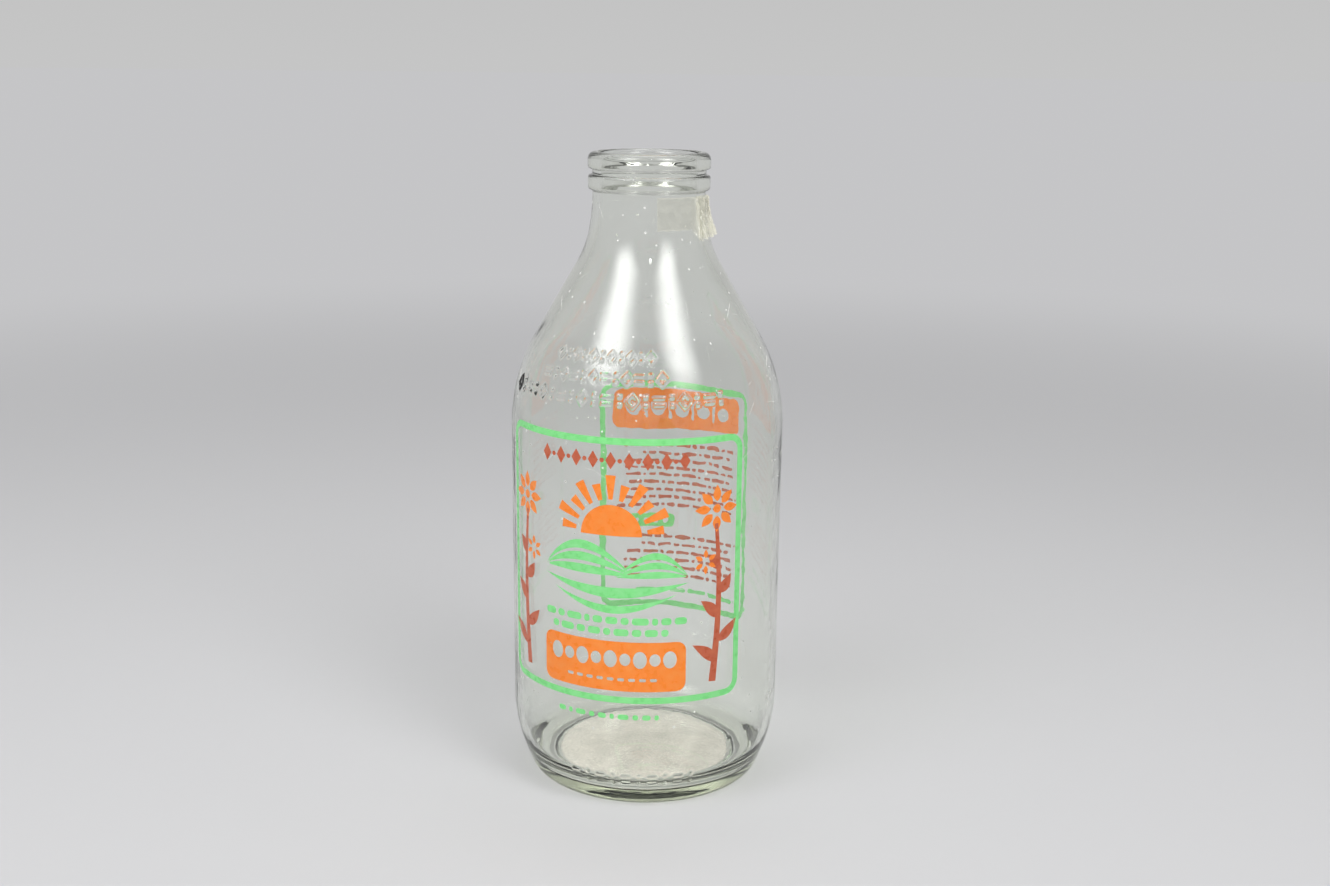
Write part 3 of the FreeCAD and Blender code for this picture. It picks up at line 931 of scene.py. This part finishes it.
def make_floor():
    """Round pale floor that fades with distance into the colour of the horizon."""
    sides = 96
    turns = [2 * math.pi * k / sides for k in range(sides)]
    verts, faces = [(0, 0, 0)], []
    radii = (0.4, 1.0, 3.0, 30.0)
    for radius in radii:
        verts += [(radius * math.cos(t), radius * math.sin(t), 0) for t in turns]
    for k in range(sides):
        n = (k + 1) % sides
        faces.append((0, 1 + k, 1 + n))
        for ring in range(len(radii) - 1):
            inner, outer = 1 + sides * ring, 1 + sides * (ring + 1)
            faces.append((inner + k, outer + k, outer + n, inner + n))
    mesh = bpy.data.meshes.new("floor")
    mesh.from_pydata(verts, [], faces)
    floor = bpy.data.objects.new("floor", mesh)
    bpy.context.scene.collection.objects.link(floor)
    made, nodes, links = material("pale_floor")
    out = nodes.new("ShaderNodeOutputMaterial")
    near = nodes.new("ShaderNodeBsdfDiffuse")
    near.inputs["Color"].default_value = (0.56, 0.56, 0.57, 1)
    far = nodes.new("ShaderNodeEmission")
    far.inputs["Color"].default_value = (HORIZON, HORIZON, HORIZON * 1.02, 1)
    reach = nodes.new("ShaderNodeVectorMath")
    reach.operation = "LENGTH"
    links.new(nodes.new("ShaderNodeNewGeometry").outputs["Position"], reach.inputs[0])
    fade = nodes.new("ShaderNodeMapRange")
    fade.interpolation_type = "SMOOTHSTEP"
    fade.inputs["From Min"].default_value = 0.25
    fade.inputs["From Max"].default_value = 1.1
    links.new(reach.outputs["Value"], fade.inputs["Value"])
    mix = nodes.new("ShaderNodeMixShader")
    links.new(fade.outputs["Result"], mix.inputs[0])
    links.new(near.outputs[0], mix.inputs[1])
    links.new(far.outputs[0], mix.inputs[2])
    links.new(mix.outputs[0], out.inputs["Surface"])
    mesh.materials.append(made)


def make_world():
    """Pale all round, a little darker overhead."""
    world = bpy.data.worlds.new("world")
    world.use_nodes = True
    nodes, links = world.node_tree.nodes, world.node_tree.links
    height = nodes.new("ShaderNodeSeparateXYZ")
    links.new(nodes.new("ShaderNodeTexCoord").outputs["Generated"], height.inputs[0])
    shade = spread(nodes, links, height.outputs["Z"], 0.0, 0.8, HORIZON, ZENITH)
    colour = nodes.new("ShaderNodeCombineColor")
    for channel in range(3):
        links.new(shade, colour.inputs[channel])
    links.new(colour.outputs[0], nodes["Background"].inputs["Color"])
    bpy.context.scene.world = world


def soften(data):
    """Let a softbox fade towards its rim, as its cloth does."""
    data.use_nodes = True
    nodes, links = data.node_tree.nodes, data.node_tree.links
    glow = next(node for node in nodes if node.type == "EMISSION")
    across = nodes.new("ShaderNodeSeparateXYZ")
    links.new(nodes.new("ShaderNodeNewGeometry").outputs["Parametric"], across.inputs[0])
    sides = []
    for axis in (0, 1):
        off = nodes.new("ShaderNodeMath")
        off.operation = "SUBTRACT"
        off.inputs[1].default_value = 0.5
        links.new(across.outputs[axis], off.inputs[0])
        size = nodes.new("ShaderNodeMath")
        size.operation = "ABSOLUTE"
        links.new(off.outputs[0], size.inputs[0])
        fade = nodes.new("ShaderNodeMapRange")
        fade.interpolation_type = "SMOOTHSTEP"
        fade.inputs["From Min"].default_value = 0.5
        fade.inputs["From Max"].default_value = 0.05
        links.new(size.outputs[0], fade.inputs["Value"])
        sides.append(fade.outputs["Result"])
    both = nodes.new("ShaderNodeMath")
    both.operation = "MULTIPLY"
    links.new(sides[0], both.inputs[0])
    links.new(sides[1], both.inputs[1])
    links.new(both.outputs[0], glow.inputs["Strength"])


def area_light(name, place, target, size, power):
    data = bpy.data.lights.new(name, "AREA")
    data.shape = "RECTANGLE"
    data.size, data.size_y = size
    data.energy = power
    soften(data)
    lamp = bpy.data.objects.new(name, data)
    lamp.location = place
    lamp.rotation_euler = (Vector(target) - Vector(place)).to_track_quat("-Z", "Y").to_euler()
    bpy.context.scene.collection.objects.link(lamp)


def make_camera():
    """Camera in front of the bottle, tilted down, turned to the right and rolled by under a degree."""
    distance, level = 0.4339, 0.2046
    pitch, roll, yaw = math.radians(13.82), math.radians(0.64), math.radians(0.685)
    ahead = Vector((math.sin(yaw) * math.cos(pitch), math.cos(yaw) * math.cos(pitch), -math.sin(pitch)))
    right = Vector((math.cos(yaw), -math.sin(yaw), 0))
    up = right.cross(ahead)
    right, up = (right * math.cos(roll) + up * math.sin(roll),
                 up * math.cos(roll) - right * math.sin(roll))
    data = bpy.data.cameras.new("camera")
    data.sensor_width = 36
    data.lens = 41.81
    data.clip_start = 0.01
    camera = bpy.data.objects.new("camera", data)
    turn = Matrix((right, up, -ahead)).transposed()
    camera.matrix_world = Matrix.Translation((0, -distance, level)) @ turn.to_4x4()
    bpy.context.scene.collection.objects.link(camera)
    bpy.context.scene.camera = camera


make_floor()
make_world()
area_light("key", (-0.55, -0.5, 0.9), (0, 0, 0.1), (0.85, 1.1), 22)
area_light("fill", (0.42, -0.55, 0.8), (0, 0, 0.1), (0.65, 1.1), 16)
area_light("top", (0.0, 0.25, 1.1), (0, 0, 0.1), (0.9, 0.5), 6)
area_light("catch", (0.04, -0.65, 0.72), (0, 0, 0.12), (0.07, 0.07), 0.9)
bpy.context.scene.view_settings.view_transform = "Standard"
make_camera()
